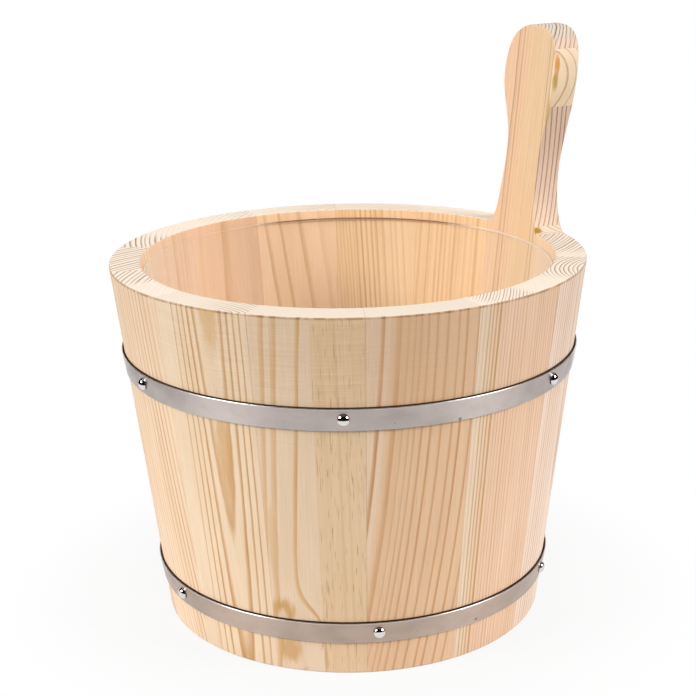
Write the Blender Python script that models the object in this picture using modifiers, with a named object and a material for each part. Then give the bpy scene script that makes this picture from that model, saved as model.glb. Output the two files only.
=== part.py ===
"""A coopered sauna bucket of pine: fourteen staves on a slight cone, one of them drawn out above the rim
as the handle, two steel hoops nailed round them, a bottom of boards in a groove, and a loose clear liner.

Metres, +Z up. The origin is on the bucket's axis at the floor, the front faces -Y, and the handle stands
at the back, to the right of the middle.
"""

import math

import bmesh
import bpy
from mathutils import Matrix

# Wall of staves
HEIGHT = 0.2015
RIM_RADIUS = 0.131
FOOT_RADIUS = 0.1073
WALL = 0.0169
STAVES = 14
EASED_EDGE = 0.0008

# Handle, the top of the long stave: how far its waist and bulge stand out to the front side and to the back
# side of the stave's middle line, each with its height, and how far its top lies to the back side
HANDLE_ANGLE = math.radians(29.2)
HANDLE_TOP = 0.3173
TOP_OFFSET = 0.0025
SQUARE_HEIGHT = 0.236
WAISTS = ((0.0134, 0.236), (0.0171, 0.249))
BULGES = ((0.0213, 0.2885), (0.0257, 0.2885))
HANDLE_ROUNDING = 0.001

# Bottom boards and the groove that holds them
GROOVE_HEIGHT = 0.014
GROOVE_DEPTH = 0.0045
BOTTOM_THICKNESS = 0.010
BOTTOM_BOARDS = 3

# Steel hoops, and the nails at their angles round the bucket in degrees
STRIP_WIDTH = 0.012
STRIP_THICKNESS = 0.0006
STRIP_STAND_OFF = 0.0008
STRIP_LAP = 0.024
HOOPS = {
    "upper": (0.1420, (-149.3, -91.6, -32.6, 28.5, 89.0, 149.7)),
    "lower": (0.0193, (-147.1, -83.3, -18.6, 37.5, 98.0, 156.0)),
}
LAPPED_NAIL = 4
HEAD_RADIUS = 0.00325
HEAD_HEIGHT = 0.0022
SHANK_RADIUS = 0.0009
SHANK_LENGTH = 0.012

# Clear liner
LINER_TOP = 0.1962
LINER_WALL = 0.0012
LINER_CLEARANCE = 0.0006
LINER_CORNER = 0.006

# Gap between pieces that touch, and how finely the round shapes are cut into facets
GAP = 0.0003
FACETS_PER_STAVE = 7
LINER_FACETS = 56
NAIL_FACETS = 12
DOME_STEPS = 4
CORNER_STEPS = 4
OUTLINE_STEPS = 6

# Worked out from the above
STAVE_ANGLE = math.tau / STAVES
FACETS = STAVES * FACETS_PER_STAVE
SLOPE = (RIM_RADIUS - FOOT_RADIUS) / HEIGHT
STRIP_TILT = math.atan2(SLOPE * STRIP_WIDTH + STRIP_STAND_OFF - GAP, STRIP_WIDTH)
LAP_LIFT = STRIP_THICKNESS + GAP

# How far a curve's handles reach along a quarter turn: a true arc, and the fuller turn of the grip's top
ARC_HANDLE = 0.5523
FULL_ARC_HANDLE = 0.72


def outer_radius(height):
    return FOOT_RADIUS + SLOPE * height


def inner_radius(height):
    return outer_radius(height) - WALL


STAVE_HALF_ANGLE = STAVE_ANGLE / 2 - GAP / 2 / inner_radius(0)
GROOVE_RADIUS = inner_radius(GROOVE_HEIGHT) + GROOVE_DEPTH
BOTTOM_TOP = GROOVE_HEIGHT + GAP + BOTTOM_THICKNESS


def smooth_step(value):
    value = min(max(value, 0), 1)
    return value * value * (3 - 2 * value)


# Scene, materials and objects

def clear_scene():
    for item in list(bpy.data.objects):
        bpy.data.objects.remove(item)


def new_collection(name):
    collection = bpy.data.collections.new(name)
    bpy.context.scene.collection.children.link(collection)
    return collection


def new_material(name, colour, roughness, metallic=0.0, alpha=1.0):
    material = bpy.data.materials.new(name)
    material.use_nodes = True
    surface = material.node_tree.nodes["Principled BSDF"]
    surface.inputs["Base Color"].default_value = (*colour, 1)
    surface.inputs["Roughness"].default_value = roughness
    surface.inputs["Metallic"].default_value = metallic
    surface.inputs["Alpha"].default_value = alpha
    return material


def pine():
    return new_material("pine", (0.80, 0.60, 0.40), 0.65)


def satin_steel():
    return new_material("satin_steel", (0.60, 0.56, 0.54), 0.35, metallic=1)


def polished_nail():
    return new_material("polished_nail", (0.80, 0.80, 0.80), 0.08, metallic=1)


def clear_plastic():
    return new_material("clear_plastic", (0.95, 0.96, 0.96), 0.1, alpha=0.15)


def new_piece(name, mesh, material, rotation=0.0):
    """A piece of the bucket, turned round its axis and shaded smooth except at its corners."""
    piece = bpy.data.objects.new(name, mesh)
    PIECES.objects.link(piece)
    piece.parent = BUCKET
    piece.rotation_euler.z = rotation
    if not mesh.materials:
        mesh.materials.append(material)
    mesh.shade_smooth()
    mesh.set_sharp_from_angle(angle=math.radians(30))
    return piece


def new_cutter(name, mesh):
    cutter = bpy.data.objects.new(name, mesh)
    CUTTERS.objects.link(cutter)
    cutter.hide_render = True
    cutter.display_type = "WIRE"
    return cutter


def cut(piece, cutter, operation="DIFFERENCE"):
    modifier = piece.modifiers.new(cutter.name, "BOOLEAN")
    modifier.operation = operation
    modifier.object = cutter


def mesh_from(shape, name):
    mesh = bpy.data.meshes.new(name)
    shape.to_mesh(mesh)
    shape.free()
    return mesh


# Turned shapes

def profile_mesh(name, points, closed=False):
    """A line of (radius, height) points to be turned round Z."""
    shape = bmesh.new()
    line = [shape.verts.new((radius, 0, height)) for radius, height in points]
    ends = line[1:] + line[:1] if closed else line[1:]
    for first, second in zip(line, ends):
        shape.edges.new((first, second))
    return mesh_from(shape, name)


def turn(item, facets):
    screw = item.modifiers.new("turned", "SCREW")
    screw.steps = facets
    screw.render_steps = facets
    screw.use_merge_vertices = True
    screw.merge_threshold = 0.00001


def quarter(centre, radius, start, steps):
    """Points of a quarter circle, clockwise from the start angle."""
    angles = [start - math.pi / 2 * step / steps for step in range(steps + 1)]
    return [(centre[0] + radius * math.cos(a), centre[1] + radius * math.sin(a)) for a in angles]


# Staves

def stave_mesh():
    """A plain stave: the wall's section with eased edges, swept round the axis over one stave's angle."""
    section = (
        (RIM_RADIUS - EASED_EDGE, HEIGHT),
        (outer_radius(HEIGHT - EASED_EDGE), HEIGHT - EASED_EDGE),
        (outer_radius(EASED_EDGE), EASED_EDGE),
        (FOOT_RADIUS - EASED_EDGE, 0),
        (inner_radius(0) + EASED_EDGE, 0),
        (inner_radius(EASED_EDGE), EASED_EDGE),
        (inner_radius(HEIGHT - EASED_EDGE), HEIGHT - EASED_EDGE),
        (inner_radius(HEIGHT) + EASED_EDGE, HEIGHT),
    )
    shape = bmesh.new()
    face = shape.faces.new([shape.verts.new((radius, 0, height)) for radius, height in section])
    to_edge = Matrix.Rotation(-STAVE_HALF_ANGLE, 3, "Z")
    bmesh.ops.rotate(shape, verts=shape.verts, cent=(0, 0, 0), matrix=to_edge)
    bmesh.ops.spin(
        shape,
        geom=[*face.verts, *face.edges, face],
        cent=(0, 0, 0),
        axis=(0, 0, 1),
        angle=2 * STAVE_HALF_ANGLE,
        steps=FACETS_PER_STAVE,
    )
    bmesh.ops.recalc_face_normals(shape, faces=shape.faces)
    return mesh_from(shape, "stave")


def handle_knots(waist, waist_height, bulge, bulge_height):
    """One side of the long stave laid flat, foot to bulge: each point, with the way in and the way out."""
    foot = STAVE_HALF_ANGLE * (inner_radius(0) + WALL / 2)
    rim = STAVE_HALF_ANGLE * (inner_radius(HEIGHT) + WALL / 2)
    flare = waist_height - HEIGHT
    swell = (bulge_height - waist_height) / 3
    dome = HANDLE_TOP - bulge_height
    straight = ((rim - foot) / 3, HEIGHT / 3)
    return (
        ((foot, 0), (-foot / 3, 0), straight),
        ((rim, HEIGHT), (-straight[0], -straight[1]), (-ARC_HANDLE * (rim - waist), 0)),
        ((waist, waist_height), (0, -ARC_HANDLE * flare), (0, swell)),
        ((bulge, bulge_height), (0, -swell), (0, FULL_ARC_HANDLE * dome)),
    )


def flat_blank():
    """The long stave as a flat board: its outline filled, as thick as the wall, drawn in X and Y."""
    curve = bpy.data.curves.new("handle_outline", "CURVE")
    curve.dimensions = "2D"
    curve.fill_mode = "BOTH"
    curve.extrude = WALL / 2
    curve.resolution_u = OUTLINE_STEPS
    front, back = (handle_knots(*waist, *bulge) for waist, bulge in zip(WAISTS, BULGES))
    to_back = FULL_ARC_HANDLE * (BULGES[1][0] - TOP_OFFSET)
    to_front = FULL_ARC_HANDLE * (BULGES[0][0] + TOP_OFFSET)
    knots = [*back, ((TOP_OFFSET, HANDLE_TOP), (to_back, 0), (-to_front, 0))]
    for (x, y), (in_x, in_y), (out_x, out_y) in reversed(front):
        knots.append(((-x, y), (-out_x, out_y), (-in_x, in_y)))
    spline = curve.splines.new("BEZIER")
    spline.bezier_points.add(len(knots) - 1)
    spline.use_cyclic_u = True
    for knot, ((x, y), way_in, way_out) in zip(spline.bezier_points, knots):
        knot.handle_left_type = "FREE"
        knot.handle_right_type = "FREE"
        knot.co = (x, y, 0)
        knot.handle_left = (x + way_in[0], y + way_in[1], 0)
        knot.handle_right = (x + way_out[0], y + way_out[1], 0)
    outline = bpy.data.objects.new("handle_outline", curve)
    PIECES.objects.link(outline)
    flat = bpy.data.meshes.new_from_object(outline.evaluated_get(bpy.context.evaluated_depsgraph_get()))
    bpy.data.objects.remove(outline)
    shape = bmesh.new()
    shape.from_mesh(flat)
    bpy.data.meshes.remove(flat)
    bmesh.ops.remove_doubles(shape, verts=shape.verts, dist=0.00001)
    bmesh.ops.dissolve_limit(shape, angle_limit=0.001, verts=shape.verts, edges=shape.edges)
    return shape


def bent(across, height, depth):
    """A point of the flat board on the cone: edges mitred below the rim, square to the board at the grip."""
    middle = inner_radius(height) + WALL / 2
    radius = middle + depth
    square = smooth_step((height - HEIGHT) / (SQUARE_HEIGHT - HEIGHT))
    angle = (1 - square) * across / middle + square * math.asin(across / radius)
    return radius * math.cos(angle), radius * math.sin(angle), height


def ease(shape, low, high, width, steps):
    """Takes off the sharp edges round the flat board's outline, between two heights."""
    edges = [
        edge
        for edge in shape.edges
        if all(low < vert.co.y < high for vert in edge.verts)
        and abs(edge.verts[0].co.z - edge.verts[1].co.z) < GAP
        and edge.calc_face_angle() > math.radians(60)
    ]
    bmesh.ops.bevel(shape, geom=edges, offset=width, segments=steps, profile=0.5, affect="EDGES")


def handle_mesh():
    """The flat board with its grip rounded over, split into strips and bent on to the cone of the wall."""
    shape = flat_blank()
    ease(shape, -GAP, GAP, EASED_EDGE, 1)
    ease(shape, HEIGHT - GAP, HANDLE_TOP + GAP, HANDLE_ROUNDING, 2)
    strip = 2 * STAVE_HALF_ANGLE * outer_radius(HEIGHT) / FACETS_PER_STAVE
    for number in range(FACETS_PER_STAVE - 1):
        line = (number + 1 - FACETS_PER_STAVE / 2) * strip
        everything = [*shape.verts, *shape.edges, *shape.faces]
        bmesh.ops.bisect_plane(shape, geom=everything, plane_co=(line, 0, 0), plane_no=(1, 0, 0))
    for vert in shape.verts:
        vert.co = bent(*vert.co)
    bmesh.ops.recalc_face_normals(shape, faces=shape.faces)
    return mesh_from(shape, "handle_stave")


def groove_cutter():
    """A ring that cuts the groove for the bottom, inside every stave at once."""
    low = GROOVE_HEIGHT
    high = BOTTOM_TOP + GAP
    inside = inner_radius(0) - WALL
    corners = ((GROOVE_RADIUS, high), (GROOVE_RADIUS, low), (inside, low), (inside, high))
    cutter = new_cutter("groove", profile_mesh("groove", corners, closed=True))
    turn(cutter, FACETS)
    return cutter


def build_staves(wood):
    """All the staves with their middle angles, the handle's first."""
    plain = stave_mesh()
    groove = groove_cutter()
    staves = []
    for number in range(STAVES):
        angle = HANDLE_ANGLE + number * STAVE_ANGLE
        if number == 0:
            stave = new_piece("handle_stave", handle_mesh(), wood, angle)
        else:
            stave = new_piece(f"stave_{number:02d}", plain, wood, angle)
        cut(stave, groove)
        staves.append((stave, angle))
    return staves


# Bottom

def build_bottom(wood):
    """A round bottom sawn from boards laid edge to edge, each cut from the same disc."""
    radius = GROOVE_RADIUS - GAP
    shape = bmesh.new()
    bmesh.ops.create_cone(
        shape, cap_ends=True, segments=FACETS, radius1=radius, radius2=radius, depth=BOTTOM_THICKNESS
    )
    disc = mesh_from(shape, "bottom")
    width = 2 * radius / BOTTOM_BOARDS
    for number in range(BOTTOM_BOARDS):
        board = new_piece(f"bottom_board_{number + 1}", disc, wood)
        board.location.z = BOTTOM_TOP - BOTTOM_THICKNESS / 2
        shape = bmesh.new()
        bmesh.ops.create_cube(shape, size=1)
        size = (width - GAP, 3 * radius, 3 * BOTTOM_THICKNESS)
        bmesh.ops.scale(shape, vec=size, verts=shape.verts)
        plank = new_cutter(f"plank_{number + 1}", mesh_from(shape, "plank"))
        plank.location = ((number + 0.5) * width - radius, 0, BOTTOM_TOP - BOTTOM_THICKNESS / 2)
        cut(board, plank, "INTERSECT")


# Hoops and nails

def strip_mesh(height, lap_angle):
    """The inner face of a strip wound once round, its last end lifted over its first at the lap."""
    lap = STRIP_LAP / outer_radius(height)
    whole = math.tau + lap
    steps = math.ceil(whole / math.tau * FACETS)
    foot = outer_radius(height) + GAP
    top = outer_radius(height + STRIP_WIDTH) + STRIP_STAND_OFF
    shape = bmesh.new()
    last = None
    for step in range(steps + 1):
        wound = whole * step / steps
        lift = LAP_LIFT * smooth_step((wound - math.tau) / lap + 1.2)
        angle = lap_angle - lap / 2 + wound
        pair = []
        for radius, level in ((foot + lift, height), (top + lift, height + STRIP_WIDTH)):
            pair.append(shape.verts.new((radius * math.cos(angle), radius * math.sin(angle), level)))
        if last:
            shape.faces.new((last[0], pair[0], pair[1], last[1]))
        last = pair
    return mesh_from(shape, "strip")


def nail_profile():
    """A domed head on a thin pointed shank, its head's underside at height 0."""
    turns = [math.pi / 2 * step / DOME_STEPS for step in range(DOME_STEPS + 1)]
    dome = [(HEAD_RADIUS * math.sin(a), HEAD_HEIGHT * math.cos(a)) for a in turns]
    point = SHANK_LENGTH - 2 * SHANK_RADIUS
    shank = [(SHANK_RADIUS, 0), (SHANK_RADIUS, -point), (0, -SHANK_LENGTH)]
    return profile_mesh("nail", dome + shank)


def nail_place(angle, hoop_height, lift):
    """On the strip's outer face, half-way up it, with +Z straight out of the strip."""
    height = hoop_height + STRIP_WIDTH / 2
    inner_face = outer_radius(height) + (GAP + STRIP_STAND_OFF) / 2
    out = Matrix.Translation((inner_face + STRIP_THICKNESS + GAP + lift, 0, height))
    return Matrix.Rotation(angle, 4, "Z") @ out @ Matrix.Rotation(math.pi / 2 + STRIP_TILT, 4, "Y")


def drill_mesh():
    """The hole for a nail's shank, from in front of the strip to just past the nail's point."""
    ahead = 4 * STRIP_THICKNESS
    behind = SHANK_LENGTH + GAP
    shape = bmesh.new()
    bmesh.ops.create_cone(
        shape,
        cap_ends=True,
        segments=NAIL_FACETS,
        radius1=SHANK_RADIUS + GAP,
        radius2=SHANK_RADIUS + GAP,
        depth=ahead + behind,
    )
    bmesh.ops.translate(shape, vec=(0, 0, (ahead - behind) / 2), verts=shape.verts)
    return mesh_from(shape, "drill")


def stave_at(staves, angle):
    """The stave that a nail at this angle goes into."""
    return min(staves, key=lambda item: abs(math.remainder(item[1] - angle, math.tau)))[0]


def build_hoops(staves):
    steel = satin_steel()
    polish = polished_nail()
    profile = nail_profile()
    drill = drill_mesh()
    for name, (height, nail_angles) in HOOPS.items():
        lap_angle = math.radians(nail_angles[LAPPED_NAIL])
        hoop = new_piece(f"{name}_hoop", strip_mesh(height, lap_angle), steel)
        shell = hoop.modifiers.new("strip", "SOLIDIFY")
        shell.thickness = STRIP_THICKNESS
        shell.offset = 1
        for number, degrees in enumerate(nail_angles):
            angle = math.radians(degrees)
            place = nail_place(angle, height, LAP_LIFT if number == LAPPED_NAIL else 0)
            nail = new_piece(f"nail_{name}_{number + 1}", profile, polish)
            nail.matrix_local = place
            turn(nail, NAIL_FACETS)
            hole = new_cutter(f"hole_{name}_{number + 1}", drill)
            hole.matrix_local = place
            cut(hoop, hole)
            cut(stave_at(staves, angle), hole)


# Liner

def build_liner():
    """A thin clear cup that follows the wall, its origin at its underside on the axis it lifts along."""
    floor = BOTTOM_TOP + GAP
    top = LINER_TOP - floor
    outside = inner_radius(LINER_TOP) - LINER_CLEARANCE
    foot = outside - SLOPE * top
    turn_in = math.atan(SLOPE)
    outer_corner = (foot + SLOPE * LINER_CORNER - LINER_CORNER, LINER_CORNER)
    sweep = quarter(outer_corner, LINER_CORNER, -turn_in, CORNER_STEPS)
    inner_sweep = quarter(outer_corner, LINER_CORNER - LINER_WALL, -turn_in, CORNER_STEPS)
    points = [(0, LINER_WALL), *reversed(inner_sweep[:-1])]
    points += [(outside - LINER_WALL, top), (outside, top), *sweep[:-1], (0, 0)]
    liner = new_piece("liner", profile_mesh("liner", points), clear_plastic())
    liner.location.z = floor
    turn(liner, LINER_FACETS)


clear_scene()
PIECES = new_collection("sauna_bucket")
CUTTERS = new_collection("cutters")
BUCKET = bpy.data.objects.new("bucket", None)
PIECES.objects.link(BUCKET)
WOOD = pine()
build_bottom(WOOD)
build_hoops(build_staves(WOOD))
build_liner()
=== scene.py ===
import math

import bmesh
import bpy
from mathutils import Matrix, Vector
from mathutils.geometry import interpolate_bezier


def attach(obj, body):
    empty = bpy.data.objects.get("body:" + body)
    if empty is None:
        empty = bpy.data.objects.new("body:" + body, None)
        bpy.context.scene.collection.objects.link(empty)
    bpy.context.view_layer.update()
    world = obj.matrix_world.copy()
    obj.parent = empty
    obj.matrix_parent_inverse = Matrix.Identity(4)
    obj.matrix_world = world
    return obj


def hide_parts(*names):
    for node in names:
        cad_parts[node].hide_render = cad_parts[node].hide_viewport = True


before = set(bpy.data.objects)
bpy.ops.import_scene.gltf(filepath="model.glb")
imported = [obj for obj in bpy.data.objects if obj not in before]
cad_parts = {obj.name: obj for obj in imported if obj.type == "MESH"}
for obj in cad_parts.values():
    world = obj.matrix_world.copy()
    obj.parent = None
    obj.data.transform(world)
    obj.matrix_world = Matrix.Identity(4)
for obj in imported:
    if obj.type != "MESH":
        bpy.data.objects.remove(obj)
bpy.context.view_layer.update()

bpy.context.scene.view_settings.view_transform = "Standard"


# Plain staves
# Thirteen boards of bare pine, mitred and glued edge to edge, then turned to a slight cone. Each is sawn from
# another place in the log, so its year rings run their own way through the wall and come out on the rim.
# Near the foot a groove is ploughed round the inside for the bottom.
rim_height = 0.2015
rim_radius = 0.131
foot_radius = 0.1073
wall = 0.0169
slope = (rim_radius - foot_radius) / rim_height
wall_tilt = math.atan(slope)
stave_count = 14
stave_angle = math.tau / stave_count
handle_angle = math.radians(29.2)
stave_facets = 13
joint_gap = 0.00005
eased_edge = 0.0009
groove_low, groove_high, groove_deep = 0.0140, 0.0246, 0.0045
groove_floor = foot_radius + slope * groove_low - wall + groove_deep
hair = 0.0001
weld = 0.000002


def outside(height):
    return foot_radius + slope * height


def put_down():
    """Leaves edit mode with nothing selected, so that the next piece starts clean."""
    if bpy.context.object and bpy.context.object.mode == "EDIT":
        bpy.ops.object.mode_set(mode="OBJECT")
    bpy.ops.object.select_all(action="DESELECT")


def pick(piece):
    put_down()
    piece.select_set(True)
    bpy.context.view_layer.objects.active = piece


def take_up(piece):
    """Starts work on a piece, with all of it selected."""
    pick(piece)
    bpy.ops.object.mode_set(mode="EDIT")
    bpy.ops.mesh.select_all(action="SELECT")


def choose(piece, kind, test):
    """Selects the corners, edges or faces in edit mode that pass a test."""
    bpy.ops.mesh.select_mode(type=kind)
    bpy.ops.mesh.select_all(action="DESELECT")
    shape = bmesh.from_edit_mesh(piece.data)
    for part in {"VERT": shape.verts, "EDGE": shape.edges, "FACE": shape.faces}[kind]:
        if test(part):
            part.select_set(True)
    bmesh.update_edit_mesh(piece.data)


def middle(part):
    """The middle of an edge or a face."""
    return sum((corner.co for corner in part.verts), Vector()) / len(part.verts)


def place_corners(piece, where):
    """Moves every corner of a piece to the place that a rule gives for where it is."""
    shape = bmesh.from_edit_mesh(piece.data)
    for corner in shape.verts:
        corner.co = where(corner.co)
    bmesh.update_edit_mesh(piece.data)


def split(through, square_to):
    """A straight saw cut through what is selected."""
    bpy.ops.mesh.bisect(plane_co=through, plane_no=square_to)


def close_up(piece):
    """Ends work on a piece: corners that meet are welded and all faces look outwards."""
    bpy.ops.mesh.select_all(action="SELECT")
    bpy.ops.mesh.remove_doubles(threshold=weld)
    bpy.ops.mesh.normals_make_consistent(inside=False)
    put_down()


def apply_all(piece):
    pick(piece)
    for change in list(piece.modifiers):
        bpy.ops.object.modifier_apply(modifier=change.name)
    piece.select_set(False)


def even_shading(piece, angle=40):
    """Smooth over the rounded edges, with the large faces left flat."""
    pick(piece)
    bpy.ops.object.shade_smooth_by_angle(angle=math.radians(angle))
    weigh = piece.modifiers.new("even_shading", "WEIGHTED_NORMAL")
    weigh.keep_sharp = True
    apply_all(piece)


def placed_copy(piece, name, place):
    copy = piece.copy()
    copy.data = piece.data.copy()
    copy.name = copy.data.name = name
    copy.data.transform(place)
    bpy.context.scene.collection.objects.link(copy)
    return copy


def clear_away(*pieces):
    for piece in pieces:
        bpy.data.meshes.remove(piece.data)


def plain_stave():
    """The wall's section, grooved near its foot and eased at its corners, swept round over one stave."""
    put_down()
    bpy.ops.mesh.primitive_plane_add(size=2)
    stave = bpy.context.object
    take_up(stave)
    corners = {
        (1, -1): (foot_radius, 0),
        (1, 1): (rim_radius, rim_height),
        (-1, 1): (rim_radius - wall, rim_height),
        (-1, -1): (foot_radius - wall, 0),
    }

    def stand(spot):
        radius, height = corners[round(spot.x), round(spot.y)]
        return Vector((radius, 0, height))

    place_corners(stave, stand)
    for height in (groove_low, groove_high):
        bpy.ops.mesh.select_all(action="SELECT")
        split((0, 0, height), (0, 0, 1))

    def beside_groove(face):
        return groove_low < middle(face).z < groove_high

    choose(stave, "FACE", beside_groove)
    split((groove_floor, 0, 0), (1, 0, 0))
    choose(stave, "FACE", lambda face: beside_groove(face) and middle(face).x < groove_floor)
    bpy.ops.mesh.delete(type="FACE")
    choose(stave, "VERT", lambda corner: not hair < corner.co.z < rim_height - hair)
    bpy.ops.mesh.bevel(affect="VERTICES", offset=eased_edge, segments=3)
    half = stave_angle / 2 - joint_gap / rim_radius
    place_corners(stave, lambda spot: Matrix.Rotation(half, 3, "Z") @ spot)
    bpy.ops.mesh.select_all(action="SELECT")
    bpy.ops.mesh.spin(steps=stave_facets, angle=2 * half, center=(0, 0, 0), axis=(0, 0, 1))
    close_up(stave)
    return stave


class Tone:
    """A value, colour or place that changes over a surface, so that shading can be written as sums."""

    def __init__(self, tree, socket=None):
        self.tree = tree
        self.socket = socket

    def node(self, kind, settings, sockets, out=0):
        made = self.tree.nodes.new("ShaderNode" + kind)
        for name, value in settings.items():
            if name == "stops":
                ramp = made.color_ramp
                while len(ramp.elements) < len(value):
                    ramp.elements.new(1)
                for stop, (place, shade) in zip(ramp.elements, value):
                    stop.position = place
                    stop.color = (shade, shade, shade, 1)
            else:
                setattr(made, name, value)
        for name, value in sockets.items():
            if isinstance(value, Tone):
                self.tree.links.new(value.socket, made.inputs[name])
            else:
                made.inputs[name].default_value = value
        return Tone(self.tree, made.outputs[out])

    def sums(self, operation, *values):
        return self.node("Math", {"operation": operation}, dict(enumerate(values)))

    def __add__(self, other):
        return self.sums("ADD", self, other)

    def __sub__(self, other):
        return self.sums("SUBTRACT", self, other)

    def __rsub__(self, other):
        return self.sums("SUBTRACT", other, self)

    def __mul__(self, other):
        return self.sums("MULTIPLY", self, other)

    def __truediv__(self, other):
        return self.sums("DIVIDE", self, other)

    def __pow__(self, other):
        return self.sums("POWER", self, other)

    __radd__ = __add__
    __rmul__ = __mul__

    def larger(self, other):
        return self.sums("MAXIMUM", self, other)

    def between(self, low, high):
        """0 below low, 1 above high and a soft rise from one to the other."""
        sockets = {"Value": self, "From Min": low, "From Max": high}
        return self.node("MapRange", {"interpolation_type": "SMOOTHSTEP"}, sockets)

    def band(self, start, full, waning, gone):
        """1 from full to waning, with a soft rise before and a soft fall after."""
        return self.between(start, full) * (1 - self.between(waning, gone))

    def place(self):
        """Where on the piece a point lies."""
        return self.node("TexCoord", {}, {}, 3)

    def millimetres(self, place, origin, turns):
        """A place measured along a board from a point of it."""
        sockets = {"Vector": place, "Location": origin, "Rotation": turns, "Scale": (0.001,) * 3}
        return self.node("Mapping", {"vector_type": "TEXTURE"}, sockets)

    def parts(self):
        return [self.node("SeparateXYZ", {}, {0: self}, out) for out in range(3)]

    def stretched(self, size, shift=0.0):
        """A place measured in grains of this size."""
        sockets = {0: self, 1: [1 / length for length in size], 2: (shift,) * 3}
        return self.node("VectorMath", {"operation": "MULTIPLY_ADD"}, sockets)

    def noise(self, detail=2.0):
        return self.node("TexNoise", {}, {"Vector": self, "Scale": 1.0, "Detail": detail})

    def mixed(self, first, second):
        """One colour where this is 0 and the other where it is 1."""
        sockets = {0: self, 6: first, 7: second}
        return self.node("Mix", {"data_type": "RGBA"}, sockets, 2)

    def times(self, amount):
        """A colour made lighter or darker."""
        return self.node("VectorMath", {"operation": "SCALE"}, {0: self, "Scale": amount})


def new_finish(name):
    """A material with its Principled shader, and a Tone to build on."""
    finish = bpy.data.materials.new(name)
    finish.use_nodes = True
    shader = finish.node_tree.nodes["Principled BSDF"]
    return finish, shader, Tone(finish.node_tree)


def feed(shader, socket, tone):
    tone.tree.links.new(tone.socket, shader.inputs[socket])


def colour(*values):
    return (*values, 1.0)


cream_end = (0.79, 0.675, 0.555)
ring_end = colour(0.19, 0.105, 0.05)
pore_brown = colour(0.36, 0.20, 0.09)
# Colour of the painted shade along the rim's outer arris.
arris_shade_brown = colour(0.30, 0.15, 0.06)
# Colour of the painted shadows in the gaps along the hoops.
painted_shadow_black = colour(0.022, 0.009, 0.004)
strip_wide = 0.012
hoop_seats = {"upper": 0.1420, "lower": 0.0193}
rings_to_a_ramp = 7


def ring_table(reach, rings):
    """How dark the named year rings are at a distance from the heart: soft inside, sharp at the bark side."""
    low = rings[0][0] - rings[0][1] - 1
    span = rings[-1][0] + 1 - low
    share = (reach - low) / span
    dark = None
    for first in range(0, len(rings), rings_to_a_ramp):
        stops = [(0.0, 0.0)]
        for ring, width, depth in rings[first : first + rings_to_a_ramp]:
            soft, full = ring - 0.65 * width, ring - 0.15 * width
            line = (ring - width, 0.0), (soft, 0.6 * depth), (full, depth), (ring + 0.15, 0.0)
            stops += [((place - low) / span, shade) for place, shade in line]
        ramp = reach.node("ValToRGB", {"stops": stops}, {"Fac": share})
        dark = ramp if dark is None else dark.larger(ramp)
    return dark


def ring_lines(turns, stops, seed, sway=0.0, pace=1.0):
    """A line for every turn, and how strong each is; sway makes some years wide and others narrow."""
    if sway:
        sockets = {"W": turns * pace + seed, "Scale": 1.0}
        turns = turns + sway * turns.node("TexNoise", {"noise_dimensions": "1D"}, sockets)
    whole = turns.sums("FLOOR", turns)
    strength = turns.node("TexWhiteNoise", {"noise_dimensions": "1D"}, {"W": whole + seed})
    return turns.node("ValToRGB", {"stops": stops}, {"Fac": turns - whole}), strength


def end_grain(board, ripple, seed, rim, rim_tone_and_light):
    """Sawn end of a board: cream, specked, with the rings as fine dark lines over a part of its width."""
    out, across, up = board.parts()
    speck = board.stretched((0.5, 0.5, 3), seed + 31).noise(3.0)
    end_face = speck.mixed(*(colour(*(c * rim_tone_and_light * f for c in cream_end)) for f in (0.93, 1.07)))
    if rim:
        heart, spacing, depth, width = rim
        reach = ((out - heart[0]) ** 2 + (across - heart[1]) ** 2) ** 0.5 + ripple
        stops = [(0.0, 0.9), (0.08, 0.0), (0.60, 0.0), (0.80, 0.55), (0.92, 1.0), (1.0, 1.0)]
        line, strength = ring_lines(reach / spacing, stops, seed, 0.8, 0.4)
        line = line * (0.6 + strength * 0.4) * (0.12 + 0.88 * across.band(*width)) * depth
        end_face = line.mixed(end_face, ring_end)
    return end_face


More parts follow.
